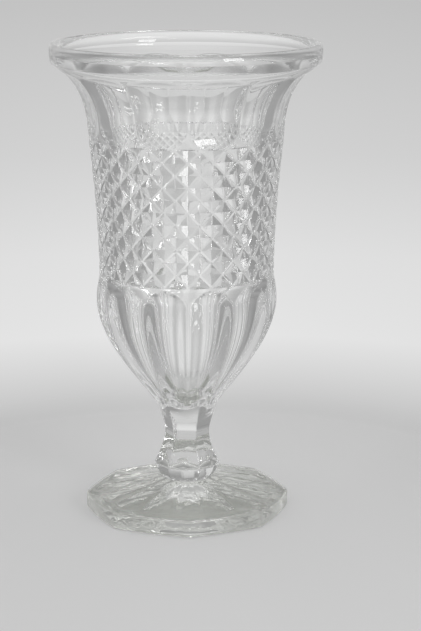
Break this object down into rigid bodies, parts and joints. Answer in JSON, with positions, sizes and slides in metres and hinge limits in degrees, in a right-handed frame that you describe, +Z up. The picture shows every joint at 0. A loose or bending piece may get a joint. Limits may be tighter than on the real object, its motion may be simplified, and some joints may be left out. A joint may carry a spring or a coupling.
{
  "type": "footed vase",
  "caption": "Footed clear glass flower vase: flared fluted neck with a round lip, band of hollow diamonds, fluted cup, six-sided stem and eight-sided rayed foot.",
  "frame": {"origin": "middle of the flat standing face, on the vase's upright axis", "axes": "+Z up along the vase's axis, -Y towards the front, +X to the right seen from the front"},
  "size_m": [0.1412, 0.1412, 0.25],
  "materials": {
    "bowl_glass": "clear, fire-polished",
    "stem_glass": "clear, fire-polished",
    "foot_glass": "clear, fire-polished"
  },
  "bodies": {
    "root": {"bowl": "bowl_glass", "stem": "stem_glass", "foot": "foot_glass"}
  },
  "joints": []
}
